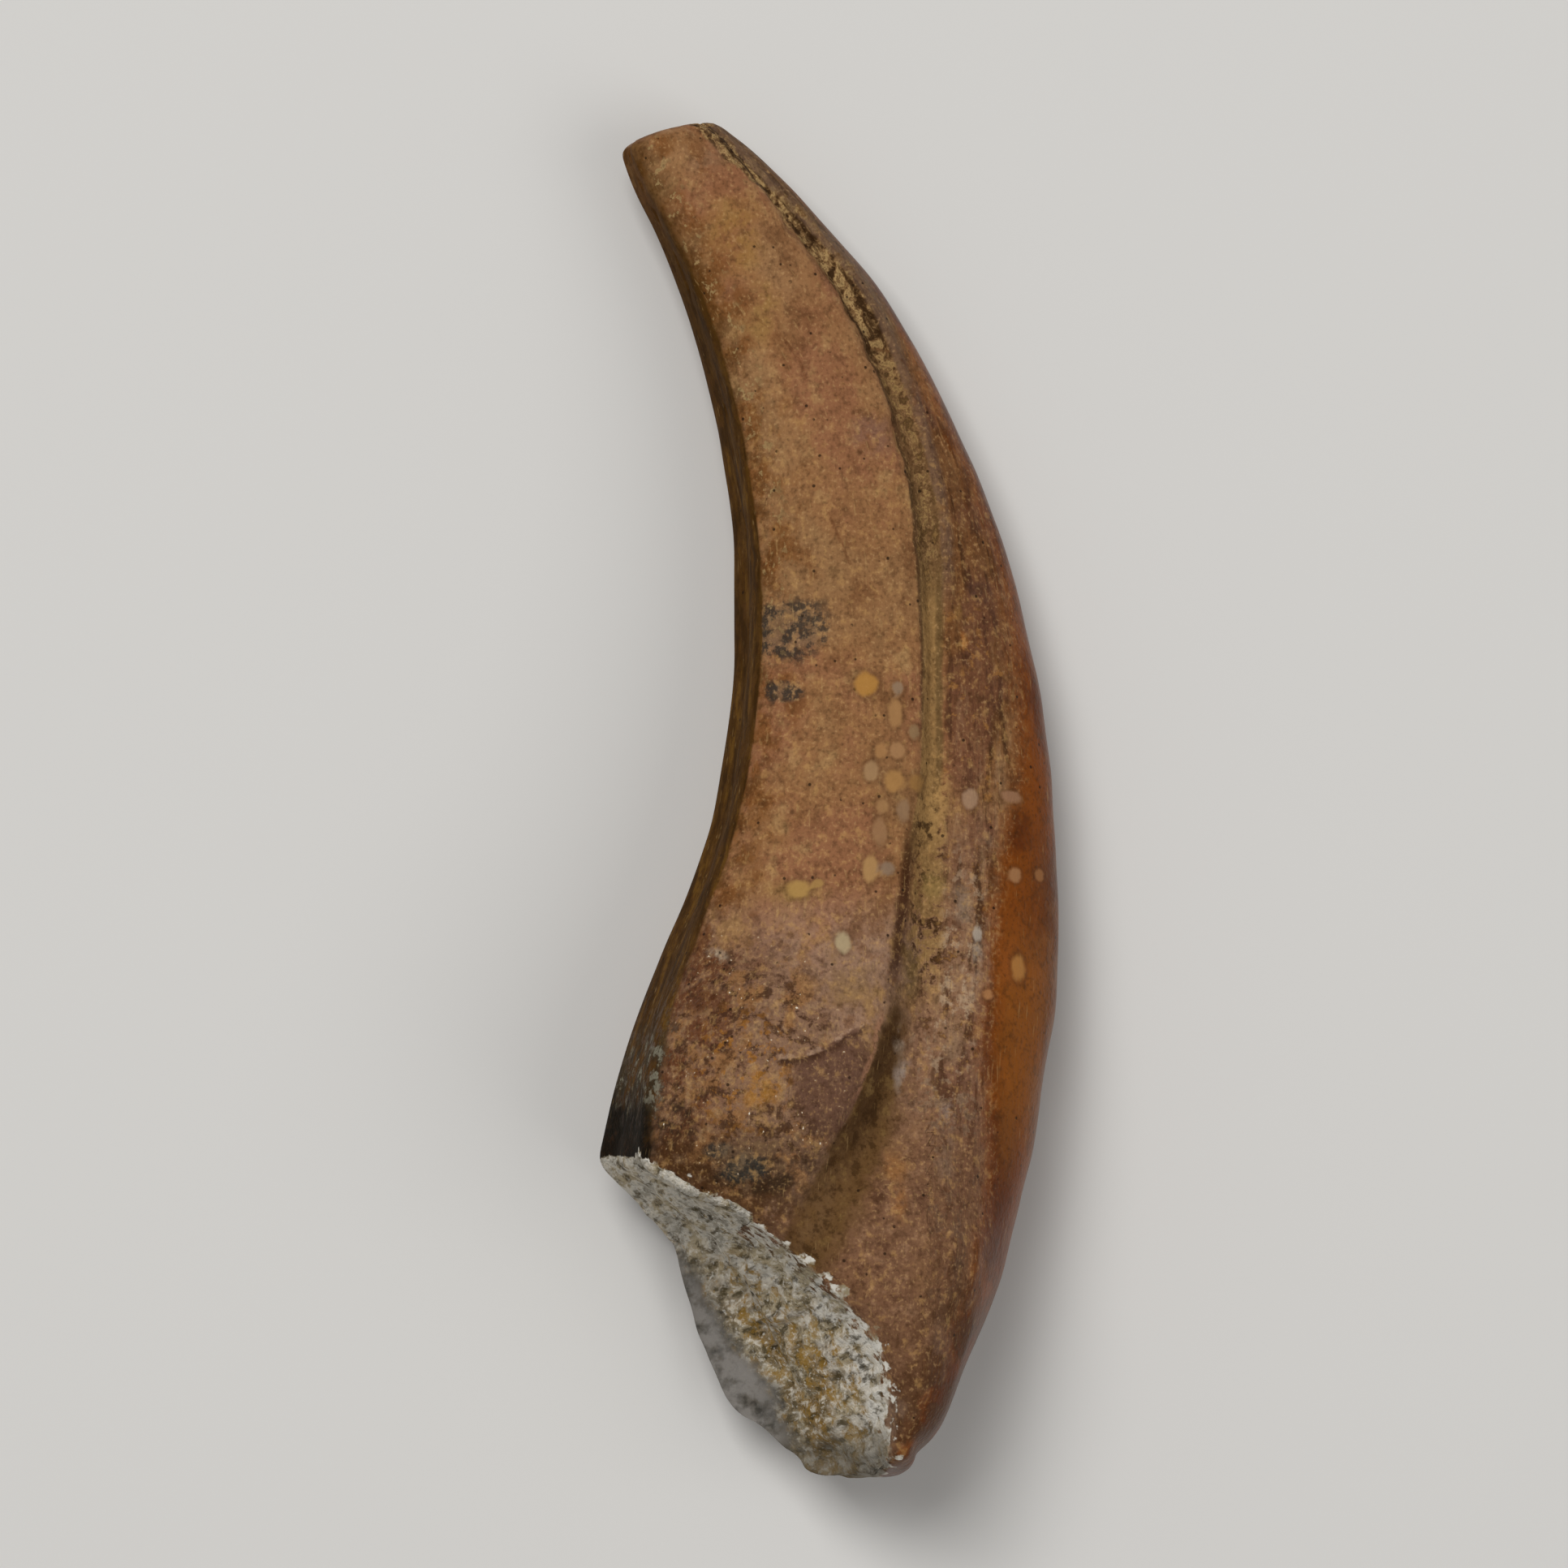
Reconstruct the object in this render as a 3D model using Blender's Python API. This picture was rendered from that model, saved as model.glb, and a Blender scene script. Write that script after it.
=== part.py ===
"""A fossil dromaeosaur claw bone, blunt at the tip and worn open at the joint, lying on its side.

The claw is drawn in its own plane first. There x runs from the hollow underside (-) to the
arched back (+), y from the joint end (-) to the tip (+), and z from side to side, with the
better side at +z. The finished bone is then laid on its other side, with the origin on the
surface under the middle of its box. Lengths are in metres. Outline points are shares of
CLAW_LENGTH.
"""

import bmesh
import bpy
import numpy as np
from mathutils import Matrix, Vector, noise

CLAW_LENGTH = 0.050  # straight from the joint end to the tip
JOINT_THICKNESS = 0.0114  # from side to side at the joint, where the bone is thickest
REST_FLAT_DEPTH = 0.00010  # how far the polished resting places are worn back

# The outline, in stations from the joint end to the tip. Each has the far edge of the
# underside, its near edge and the back. The first ten stations run along the joint.
STATIONS = (
    ((-0.010, -0.486), (0.031, -0.484), (0.060, -0.489)),
    ((-0.036, -0.471), (0.033, -0.470), (0.075, -0.477)),
    ((-0.060, -0.448), (0.030, -0.447), (0.087, -0.453)),
    ((-0.073, -0.422), (0.023, -0.421), (0.097, -0.429)),
    ((-0.081, -0.397), (0.008, -0.398), (0.109, -0.404)),
    ((-0.088, -0.372), (-0.017, -0.375), (0.119, -0.380)),
    ((-0.095, -0.348), (-0.044, -0.351), (0.128, -0.356)),
    ((-0.103, -0.325), (-0.073, -0.329), (0.135, -0.331)),
    ((-0.122, -0.304), (-0.108, -0.312), (0.141, -0.307)),
    ((-0.164, -0.269), (-0.152, -0.287), (0.152, -0.266)),
    ((-0.150, -0.210), (-0.143, -0.225), (0.162, -0.210)),
    ((-0.135, -0.161), (-0.131, -0.177), (0.169, -0.165)),
    ((-0.117, -0.113), (-0.115, -0.128), (0.172, -0.119)),
    ((-0.094, -0.065), (-0.095, -0.077), (0.172, -0.065)),
    ((-0.075, -0.005), (-0.077, -0.017), (0.168, 0.007)),
    ((-0.064, 0.068), (-0.065, 0.057), (0.158, 0.088)),
    ((-0.062, 0.128), (-0.061, 0.117), (0.141, 0.160)),
    ((-0.065, 0.200), (-0.064, 0.192), (0.112, 0.244)),
    ((-0.077, 0.271), (-0.075, 0.265), (0.067, 0.335)),
    ((-0.096, 0.342), (-0.094, 0.338), (0.024, 0.397)),
    ((-0.123, 0.413), (-0.122, 0.410), (-0.024, 0.450)),
    ((-0.143, 0.451), (-0.141, 0.449), (-0.055, 0.479)),
    ((-0.153, 0.475), (-0.151, 0.473), (-0.076, 0.495)),
)
TUBERCLE_CORNER = 9  # the station at the sharp corner of the tendon's tubercle

# Where the side groove's lip runs, as seen from the side, from the joint to the tip.
GROOVE_LINE = (
    (-0.075, -0.345),
    (-0.032, -0.296),
    (-0.003, -0.254),
    (0.022, -0.196),
    (0.034, -0.140),
    (0.044, -0.079),
    (0.052, -0.030),
    (0.056, 0.020),
    (0.060, 0.080),
    (0.059, 0.141),
    (0.055, 0.196),
    (0.045, 0.251),
    (0.031, 0.305),
    (0.008, 0.351),
    (-0.026, 0.405),
    (-0.054, 0.442),
    (-0.080, 0.477),
    (-0.100, 0.505),
)

# Each of these runs along the claw: (share of CLAW_LENGTH above the middle, value).
THICKNESS = (  # a share of JOINT_THICKNESS
    (-0.50, 0.62),
    (-0.46, 0.82),
    (-0.40, 0.94),
    (-0.30, 1.00),
    (-0.20, 0.95),
    (-0.08, 0.79),
    (0.05, 0.67),
    (0.20, 0.57),
    (0.35, 0.46),
    (0.45, 0.36),
    (0.50, 0.29),
)
EDGE_HEIGHT = (  # how far from the middle plane the underside's edges are, of the half thickness
    (-0.50, 0.78),
    (-0.40, 0.86),
    (-0.31, 0.80),
    (-0.26, 0.58),
    (-0.15, 0.50),
    (0.00, 0.60),
    (0.30, 0.60),
    (0.50, 0.55),
)
GROOVE_WIDTH = (  # metres
    (-0.30, 0.0040),
    (-0.18, 0.0034),
    (-0.06, 0.0022),
    (0.02, 0.0013),
    (0.25, 0.0011),
    (0.40, 0.0010),
    (0.50, 0.0007),
)
GROOVE_DEPTH = (  # metres
    (-0.36, 0.0001),
    (-0.28, 0.0009),
    (-0.18, 0.0009),
    (-0.06, 0.00055),
    (0.05, 0.00030),
    (0.30, 0.00034),
    (0.44, 0.00028),
    (0.50, 0.00015),
)
BACK_STEP = (  # how far the side beyond the groove stands back, as a share of its height
    (-0.34, 0.00),
    (-0.20, 0.06),
    (0.00, 0.08),
    (0.30, 0.13),
    (0.50, 0.10),
)
JOINT_HOLLOW = (  # metres, the depth of the joint's far socket
    (-0.50, 0.0002),
    (-0.44, 0.0009),
    (-0.36, 0.0010),
    (-0.31, 0.0005),
    (-0.27, 0.0003),
    (-0.20, 0.0),
    (0.50, 0.0),
)

GROOVE_FLOOR = (  # share of the groove's width where its floor starts to rise again
    (-0.50, 0.35),
    (-0.20, 0.35),
    (-0.10, 0.36),
    (0.05, 0.69),
    (0.15, 0.70),
    (0.50, 0.70),
)

BODY_PEAK = 0.36  # where a side is highest, from the underside's edge to the back
BODY_CURVES = (2.2, 2.1)  # exponents of a side's curve before and after its peak
LIP_RANGE = (0.12, 0.80)  # the groove's lip stays between these shares of a side
GROOVE_WALL = 0.22  # share of the groove's width taken by its steep wall
GROOVE_LIMIT = 0.8  # most of the bone beyond the lip that the groove may take
NEAR_SOCKET = 0.45  # depth of the joint's near socket, which is more worn, of the far one's
UNDERSIDE_HOLLOW = 0.00008
END_CURVE = 0.55  # exponent of the domed ends' curve, which is full near the rim
MERGE = 0.000005  # points closer than this are one

# Swellings (+) and scars (-) of the bone: place, reach across it and height, in metres.
LUMPS = (
    ((-0.0045, -0.0105, 0.0050), 0.0042, 0.00055),  # tubercle's swelling, better side
    ((-0.0045, -0.0105, -0.0050), 0.0042, 0.00040),  # tubercle's swelling, other side
    ((-0.0060, -0.0065, 0.0035), 0.0020, -0.00015),  # hollow above the tubercle
    ((0.0035, -0.0170, 0.0050), 0.0030, 0.00025),  # shoulder beside the joint
    ((0.0035, -0.0170, -0.0050), 0.0030, 0.00020),
    ((-0.0016, -0.0230, -0.0033), 0.0011, -0.00090),  # notch broken from the joint's rim
    ((-0.0066, 0.0243, 0.0000), 0.0012, -0.00018),  # chip at the tip
)
RIPPLE = ((0.0035, 0.00008), (0.0014, 0.00003))  # size and height of the bone's unevenness
SPONGE = ((0.0016, 0.00022), (0.0008, 0.00012))  # the same for the worn joint

JOINT_ROWS, SHAFT_ROWS, CAP_ROWS = 23, 58, 4
UNDER_STEPS, LIP_STEPS, BACK_STEPS = 9, 10, 8
GROOVE_STEPS = (0.0, 0.22, 0.6, 1.0)  # shares of the groove's width
TIP_DOME, JOINT_END_DOME = 0.00080, 0.00090

BONE_COLOUR = (0.205, 0.098, 0.042, 1.0)
BONE_ROUGHNESS = 0.45


def smooth_curve(points, place, corner=None):
    """Points at the given places along a smooth curve, which may have one sharp corner."""
    points = np.array(points, float)
    last = len(points) - 1
    steps = np.arange(last + 1)
    arriving = np.gradient(points, steps, axis=0)
    leaving = arriving.copy()
    if corner is not None:
        arriving[: corner + 1] = np.gradient(points[: corner + 1], axis=0)
        leaving[corner:] = np.gradient(points[corner:], axis=0)
        arriving[corner + 1 :] = leaving[corner + 1 :]
        leaving[:corner] = arriving[:corner]
    start = np.clip(np.floor(place).astype(int), 0, last - 1)
    t = (place - start)[:, None]
    return (
        points[start] * (1 + 2 * t) * (1 - t) ** 2
        + leaving[start] * t * (1 - t) ** 2
        + points[start + 1] * t**2 * (3 - 2 * t)
        - arriving[start + 1] * t**2 * (1 - t)
    )


def along(profile, height):
    """A profile's value at a height, with smooth joins between its points."""
    heights, values = np.array(profile).T
    height = float(np.clip(height, heights[0], heights[-1]))
    i = min(int(np.searchsorted(heights, height, "right")) - 1, len(heights) - 2)
    slopes = np.gradient(values, heights)
    span = heights[i + 1] - heights[i]
    t = (height - heights[i]) / span
    return float(
        values[i] * (1 + 2 * t) * (1 - t) ** 2
        + slopes[i] * span * t * (1 - t) ** 2
        + values[i + 1] * t**2 * (3 - 2 * t)
        - slopes[i + 1] * span * t**2 * (1 - t)
    )


def ease(low, high, value):
    """0 below low, 1 above high, and a smooth step between."""
    t = np.clip((value - low) / (high - low), 0, 1)
    return t * t * (3 - 2 * t)


def station_places():
    """Places of the rows along STATIONS, evenly spaced on each side of the corner."""
    middles = [(np.array(far) + np.array(back)) / 2 for far, near, back in STATIONS]

    def spread(first, last, count):
        fine = np.linspace(first, last, 400)
        middle = smooth_curve(middles, fine, TUBERCLE_CORNER)
        steps = np.linalg.norm(np.diff(middle, axis=0), axis=1)
        length = np.concatenate([[0], np.cumsum(steps)])
        return np.interp(np.linspace(0, length[-1], count), length, fine)

    joint = spread(0, TUBERCLE_CORNER, JOINT_ROWS)
    shaft = spread(TUBERCLE_CORNER, len(STATIONS) - 1, SHAFT_ROWS)
    return np.concatenate([joint[:-1], shaft])


def groove_crossing(edge, back):
    """Where the groove's lip crosses the line from an edge to the back, as a share of it."""
    line = smooth_curve(GROOVE_LINE, np.linspace(0, len(GROOVE_LINE) - 1, 300))
    line = line * CLAW_LENGTH
    chord = back - edge
    from_edge = line - edge
    side = chord[0] * from_edge[:, 1] - chord[1] * from_edge[:, 0]
    share = from_edge @ chord / (chord @ chord)
    if side[0] > 0:
        return float(share[0])
    crossed = int(np.argmax(side > 0))
    part = side[crossed - 1] / (side[crossed - 1] - side[crossed])
    return float(share[crossed - 1] + part * (share[crossed] - share[crossed - 1]))


def side_columns(lip, width):
    """Places of the columns from the underside's edge to the back, crowded at the groove."""
    to_lip = np.linspace(0, lip, LIP_STEPS + 1)[:-1]
    groove = lip + np.array(GROOVE_STEPS) * width
    rest = np.sin(np.linspace(0, np.pi / 2, BACK_STEPS + 1))[1:]
    return np.concatenate([to_lip, groove, groove[-1] + (1 - groove[-1]) * rest])


def side_heights(places, lip, width, edge_height, half, depth, step, open_floor):
    """Distance of one side of the bone from the middle plane, at places from edge to back."""
    rising = np.clip((BODY_PEAK - places) / BODY_PEAK, 0, 1)
    falling = np.clip((places - BODY_PEAK) / (1 - BODY_PEAK), 0, 1)
    before, after = BODY_CURVES
    body = (1 - (1 - edge_height) * rising**before) * np.sqrt(1 - falling**after)
    across = (places - lip) / width
    stepped = 1 - step * ease(0, GROOVE_WALL, across)
    hollow = ease(0, GROOVE_WALL, across) * (1 - ease(open_floor, 1, across))
    return half * body * stepped - depth * hollow


def side_points(edge, back, height):
    """One side of the bone from the underside's edge to the back, without its last point."""
    chord = np.linalg.norm(back - edge)
    lip = np.clip(groove_crossing(edge, back), *LIP_RANGE)
    width = min(along(GROOVE_WIDTH, height) / chord, GROOVE_LIMIT * (1 - lip))
    places = side_columns(lip, width)
    heights = side_heights(
        places,
        lip,
        width,
        along(EDGE_HEIGHT, height),
        along(THICKNESS, height) * JOINT_THICKNESS / 2,
        along(GROOVE_DEPTH, height),
        along(BACK_STEP, height),
        along(GROOVE_FLOOR, height),
    )
    flat = edge + places[:, None] * (back - edge)
    return np.column_stack([flat, heights])[:-1]


def under_points(far_edge, near_edge, back, height):
    """The underside or the joint from its far edge to its near one, without its last point."""
    share = np.linspace(0, 1, UNDER_STEPS + 1)[:-1, None]
    inward = back - (far_edge[:2] + near_edge[:2]) / 2
    inward = np.append(inward / np.linalg.norm(inward), 0)
    sockets = along(JOINT_HOLLOW, height) * np.sin(2 * np.pi * share) ** 2
    sockets[share > 0.5] *= NEAR_SOCKET
    hollow = UNDERSIDE_HOLLOW * np.sin(np.pi * share)
    return far_edge + share * (near_edge - far_edge) + (sockets + hollow) * inward


def ring(far, near, back):
    """One closed row of points round the bone."""
    height = (far[1] + near[1] + 2 * back[1]) / (4 * CLAW_LENGTH)
    near_side = side_points(near, back, height)
    far_side = side_points(far, back, height) * (1, 1, -1)
    under = under_points(far_side[0], near_side[0], back, height)
    back_point = np.append(back, 0.0)[None]
    return np.concatenate([under, near_side, back_point, far_side[:0:-1]])


def dome(last_ring, before, height):
    """Rows that close an end with a low dome, the last of them a single point."""
    centre = last_ring.mean(axis=0)
    outward = centre - before.mean(axis=0)
    outward /= np.linalg.norm(outward)
    angles = np.linspace(0, np.pi / 2, CAP_ROWS + 1)[1:]
    shrink = np.cos(angles) ** END_CURVE
    shrink[-1] = 0
    return [
        centre + (last_ring - centre) * s + outward * height * np.sin(a)
        for s, a in zip(shrink, angles)
    ]


def rows_of_points():
    """Every row of the bone's surface, from the joint end to the tip."""
    places = station_places()
    far, near, back = (
        smooth_curve([s[i] for s in STATIONS], places, TUBERCLE_CORNER) * CLAW_LENGTH
        for i in range(3)
    )
    rings = [ring(*edges) for edges in zip(far, near, back)]
    joint_end = dome(rings[0], rings[1], JOINT_END_DOME)
    tip = dome(rings[-1], rings[-2], TIP_DOME)
    return [*reversed(joint_end), *rings, *tip]


def wrap_grid(bm, rows):
    """A grid wrapped round the rows, closed along its seam and at both ends."""
    columns = len(rows[0])
    grid = bmesh.ops.create_grid(bm, x_segments=columns, y_segments=len(rows) - 1, size=1)
    bm.verts.ensure_lookup_table()
    for i, vert in enumerate(grid["verts"]):
        row, column = divmod(i, columns + 1)
        vert.co = rows[row][column % columns]
    bmesh.ops.remove_doubles(bm, verts=bm.verts, dist=MERGE)
    bmesh.ops.recalc_face_normals(bm, faces=bm.faces)


def on_joint(point):
    """1 on the worn face of the joint, 0 on the smooth bone."""
    x, y = point.x / CLAW_LENGTH, point.y / CLAW_LENGTH
    near = np.array([s[1] for s in STATIONS[: TUBERCLE_CORNER + 1]])
    edge = np.interp(y, near[:, 1], near[:, 0])
    below_corner = 1 - ease(-0.300, -0.275, y)
    return float(ease(-0.006, 0.010, edge - x) * below_corner)


def unevenness(point, layers):
    """The height of a natural surface's unevenness at a point."""
    return sum(high * noise.noise(point / size) for size, high in layers)


def weather(bm):
    """Swellings, scars and unevenness, pushed out of the smooth form or into it."""
    bm.normal_update()
    moves = []
    for vert in bm.verts:
        lift = unevenness(vert.co, RIPPLE) + on_joint(vert.co) * unevenness(vert.co, SPONGE)
        for place, reach, height in LUMPS:
            distance = (vert.co - Vector(place)).length / reach
            lift += height * np.exp(-2 * distance**2)
        moves.append(vert.normal * lift)
    for vert, move in zip(bm.verts, moves):
        vert.co += move


def centre_of_mass(bm):
    """The middle of the solid, summed over the tetrahedra from the origin to each triangle."""
    total, weighted = 0.0, Vector()
    for a, b, c in ([loop.vert.co for loop in three] for three in bm.calc_loop_triangles()):
        volume = a.dot(b.cross(c))
        total += volume
        weighted += volume * (a + b + c) / 4
    return weighted / total


def lies_under(corners, point, normal):
    """True if the point is straight above this triangle, along its normal."""
    return all(
        (end - start).cross(point - start).dot(normal) > 0
        for start, end in zip(corners, corners[1:] + corners[:1])
    )


def lay_on_far_side(bm):
    """Turns the bone so that the hull's face under its centre of mass lies flat below it."""
    centre = centre_of_mass(bm)
    hull = bmesh.new()
    for vert in bm.verts:
        hull.verts.new(vert.co)
    bmesh.ops.convex_hull(hull, input=hull.verts)
    bmesh.ops.triangulate(hull, faces=hull.faces)
    hull.normal_update()
    for face in hull.faces:
        corners = [v.co.copy() for v in face.verts]
        if face.normal.z < -0.8 and lies_under(corners, centre, face.normal):
            turn = face.normal.rotation_difference(Vector((0, 0, -1))).to_matrix()
            bmesh.ops.rotate(bm, verts=bm.verts, matrix=turn)
            break
    hull.free()


def wear_flats(bm):
    """Polishes the places that touch the surface into one level plane."""
    level = min(v.co.z for v in bm.verts) + REST_FLAT_DEPTH
    plane = {"plane_co": (0, 0, level), "plane_no": (0, 0, 1)}
    every = [*bm.verts, *bm.edges, *bm.faces]
    bmesh.ops.bisect_plane(bm, geom=every, clear_inner=True, **plane)
    bmesh.ops.remove_doubles(bm, verts=bm.verts, dist=MERGE)
    bmesh.ops.dissolve_degenerate(bm, edges=bm.edges, dist=MERGE)
    rim = [edge for edge in bm.edges if edge.is_boundary]
    bmesh.ops.edgeloop_fill(bm, edges=rim)
    bmesh.ops.recalc_face_normals(bm, faces=bm.faces)


def stand_on_origin(bm):
    """Moves the bone so that the origin is under the middle of its box."""
    points = np.array([v.co for v in bm.verts])
    low, high = points.min(axis=0), points.max(axis=0)
    middle = (low + high) / 2
    bmesh.ops.translate(bm, verts=bm.verts, vec=(-middle[0], -middle[1], -low[2]))


def bone_material():
    material = bpy.data.materials.new("fossil_bone")
    material.use_nodes = True
    shader = material.node_tree.nodes["Principled BSDF"]
    shader.inputs["Base Color"].default_value = BONE_COLOUR
    shader.inputs["Roughness"].default_value = BONE_ROUGHNESS
    shader.inputs["Metallic"].default_value = 0.0
    material.diffuse_color = BONE_COLOUR
    return material


def build_claw():
    bm = bmesh.new()
    wrap_grid(bm, rows_of_points())
    weather(bm)
    lay_on_far_side(bm)
    wear_flats(bm)
    stand_on_origin(bm)
    mesh = bpy.data.meshes.new("claw")
    bm.to_mesh(mesh)
    bm.free()
    mesh.shade_smooth()
    mesh.materials.append(bone_material())
    claw = bpy.data.objects.new("claw", mesh)
    bpy.context.scene.collection.objects.link(claw)
    return claw


def main():
    for obj in list(bpy.data.objects):
        bpy.data.objects.remove(obj)
    build_claw()


main()
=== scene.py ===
"""Looks of a fossil dromaeosaur claw: weathered, mineral-filled bone lying on a pale table.

Most places on the claw are given in its own plane, in millimetres: x runs from the hollow
underside to the arched back, y from the joint to the tip, and z from side to side, with the
better side at +z.
"""

import math

import bpy
import numpy as np
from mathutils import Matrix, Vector, noise


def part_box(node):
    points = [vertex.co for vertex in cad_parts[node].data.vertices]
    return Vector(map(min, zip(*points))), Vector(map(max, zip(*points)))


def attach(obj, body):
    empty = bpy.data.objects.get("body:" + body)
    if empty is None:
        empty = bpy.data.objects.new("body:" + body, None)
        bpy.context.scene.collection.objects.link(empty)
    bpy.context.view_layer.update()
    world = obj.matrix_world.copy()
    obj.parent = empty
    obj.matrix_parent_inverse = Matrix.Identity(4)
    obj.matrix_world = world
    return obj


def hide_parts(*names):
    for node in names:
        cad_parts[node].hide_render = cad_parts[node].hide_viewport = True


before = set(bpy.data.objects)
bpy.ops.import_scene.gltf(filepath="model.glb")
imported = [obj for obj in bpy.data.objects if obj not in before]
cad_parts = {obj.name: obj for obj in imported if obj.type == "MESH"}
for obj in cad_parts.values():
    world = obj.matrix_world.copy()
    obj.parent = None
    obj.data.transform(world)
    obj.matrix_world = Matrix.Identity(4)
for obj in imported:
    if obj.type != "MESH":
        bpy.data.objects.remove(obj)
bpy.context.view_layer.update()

bl_info = {
    "name": "Fossil Dromaeosaur Claw",
    "version": (1, 0, 0),
    "blender": (4, 5, 0),
    "location": "3D View > Sidebar > Fossil Claw",
    "description": "A weathered fossil claw bone on a pale table, under soft light",
    "category": "Add Mesh",
}

MM = 0.001

# How the claw lies: the direction in its own plane that faces down, and where that plane's
# origin is above the table.
FACES_DOWN = Vector((0.1435, 0.0953, -0.9850))
PLANE_ORIGIN = Vector((-0.01, 0.10, 4.26)) * MM

# Lines on the claw in its own plane, from the tip towards the joint, the same for both sides.
# The sharp lip of the groove, and then of the channel that it opens into.
GROOVE_LIP = (
    (-5.5, 24.9), (-4.4, 23.7), (-3.3, 22.8), (-2.4, 21.9), (-1.7, 21.0), (-0.9, 20.0),
    (-0.2, 18.9), (0.5, 17.8), (1.1, 16.4), (1.6, 15.0), (2.1, 13.6), (2.4, 12.2),
    (2.6, 10.4), (2.75, 8.0), (2.83, 6.0), (2.83, 4.0), (2.74, 1.5), (2.58, -0.4),
    (2.3, -1.8), (2.0, -3.4), (1.78, -5.2), (1.5, -7.2), (1.1, -9.0), (0.6, -10.7),
    (0.0, -12.1), (-0.8, -13.6), (-1.6, -15.2), (-2.4, -16.8),
)
# The groove's other side, next to the back.
GROOVE_RAIL = (
    (-4.6, 24.8), (-3.7, 23.9), (-2.9, 23.0), (-2.0, 22.1), (-1.0, 21.1), (0.0, 20.0),
    (0.8, 19.0), (1.4, 18.0), (1.9, 16.9), (2.3, 15.8), (2.7, 14.7), (3.05, 13.5),
    (3.4, 12.0), (3.65, 10.6), (3.8, 9.2), (3.8, 7.6), (3.74, 5.5), (3.7, 3.5),
    (3.7, 1.0), (3.6, -1.0), (3.4, -3.0), (3.3, -5.0), (3.2, -8.0), (3.0, -12.0),
)
# Where the polished back begins.
MARGIN = (
    (-2.2, 23.4), (-0.8, 21.6), (0.4, 20.1), (1.4, 18.6), (2.4, 17.2), (3.2, 15.8),
    (4.0, 13.9), (4.9, 12.0), (5.8, 9.9), (6.3, 7.5), (6.5, 5.0), (6.6, 2.6), (6.5, 0.2),
    (6.0, -1.5), (5.6, -3.4), (5.4, -5.2), (5.2, -7.3), (5.0, -9.6), (5.1, -12.0),
    (5.2, -14.3), (4.9, -16.5), (4.4, -18.5), (3.5, -20.6), (2.7, -22.6), (2.0, -24.4),
)
# The edge between the sides and the underside.
CREASE = (
    (-7.6, 23.7), (-7.0, 22.3), (-6.3, 20.9), (-5.6, 19.4), (-5.0, 17.8), (-4.4, 16.2),
    (-4.0, 14.5), (-3.6, 12.7), (-3.4, 11.2), (-3.2, 9.4), (-3.1, 7.5), (-3.1, 5.4),
    (-3.2, 3.6), (-3.4, 2.0), (-3.7, 0.2), (-4.1, -1.6), (-4.5, -3.0), (-5.0, -4.2),
    (-5.4, -5.2), (-6.0, -6.7), (-6.6, -8.5), (-7.1, -10.4), (-7.4, -12.2), (-7.6, -14.1),
)
# The rim of the joint's open face.
JOINT_RIM = (
    (-8.1, -13.6), (-7.7, -13.9), (-6.9, -14.6), (-5.9, -15.2), (-5.0, -15.7), (-3.8, -16.4),
    (-2.7, -17.1), (-1.5, -18.1), (-0.3, -19.2), (0.7, -20.3), (1.25, -21.4), (1.5, -22.6),
    (1.6, -23.7), (1.7, -24.6), (2.0, -25.6),
)
# The way that the bone's grain runs.
GRAIN_LINE = (
    (-7.0, 26.5), (-4.5, 24.0), (-2.4, 21.8), (-0.6, 19.4), (0.9, 16.8), (2.0, 13.8),
    (2.7, 10.4), (3.0, 6.4), (3.1, 2.0), (3.0, -2.5), (2.8, -7.0), (2.5, -12.0),
    (2.2, -17.0), (1.9, -22.0), (1.7, -26.0),
)
# The upper edge of the raised flake on the tubercle, from the underside towards the back.
FLAKE_EDGE = (
    (-4.0, -10.5), (-2.9, -10.45), (-2.1, -10.38), (-1.35, -10.15), (-0.7, -9.75), (-0.1, -9.35),
    (0.7, -8.95), (1.4, -8.5),
)
# What divides the joint's face into its pitted near part and its smoother far part.
FOLD = (
    (-9.0, -15.2), (-7.6, -15.6), (-6.2, -15.9), (-5.2, -16.4), (-4.3, -17.1), (-3.9, -17.8),
    (-3.0, -19.5), (-1.8, -21.2), (-1.0, -22.8), (-0.6, -24.1), (-0.4, -25.6),
)

# Thin scratches on the better side.
SCRATCHES = (
    ((-0.9, 10.8), (-0.25, 9.2), (0.4, 7.7)),
    ((1.2, 16.6), (2.0, 16.45), (2.8, 15.9)),
    ((-3.3, 17.5), (-2.3, 16.7), (-1.6, 15.8), (-1.3, 14.9)),
)

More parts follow.
